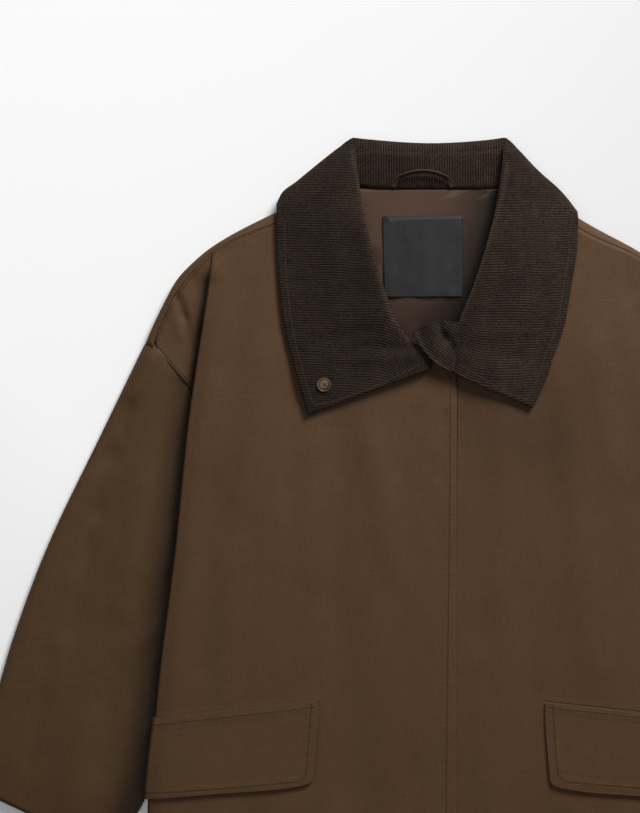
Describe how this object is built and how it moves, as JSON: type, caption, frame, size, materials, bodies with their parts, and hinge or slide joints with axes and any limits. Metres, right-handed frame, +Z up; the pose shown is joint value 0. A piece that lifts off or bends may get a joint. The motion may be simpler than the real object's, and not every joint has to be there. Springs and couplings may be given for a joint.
{
  "type": "waxed cotton jacket",
  "caption": "Waxed cotton jacket laid flat on its back, with a corduroy collar open at the neck, lapped fronts, dropped sleeves and pocket flaps.",
  "frame": {"origin": "middle of the laid garment's box, on the surface it lies on", "axes": "+Z up out of the front, +Y towards the collar, +X across the jacket towards the sleeve of the wearer's left arm"},
  "size_m": [0.9646, 0.8544, 0.0297],
  "materials": {
    "wax": "waxed, dark brown, dull sheen",
    "cord": "corduroy, very dark brown, velvety",
    "lining": "plain weave lining, plum brown, matte",
    "label": "satin, black, bare",
    "loop": "waxed cotton tape, dark brown",
    "brass": "antique, brushed"
  },
  "bodies": {
    "root": {"back": "wax", "front_right": "wax", "front_left": "wax", "sleeve_right": "wax", "sleeve_left": "wax", "collar_fall": "cord", "collar_under": "cord", "collar_stand": "cord", "neck_tab": "cord", "neck_lining": "lining", "label": "label", "hanger_loop": "loop", "flap_right": "wax", "flap_left": "wax", "snap_cap": "brass"}
  },
  "joints": []
}
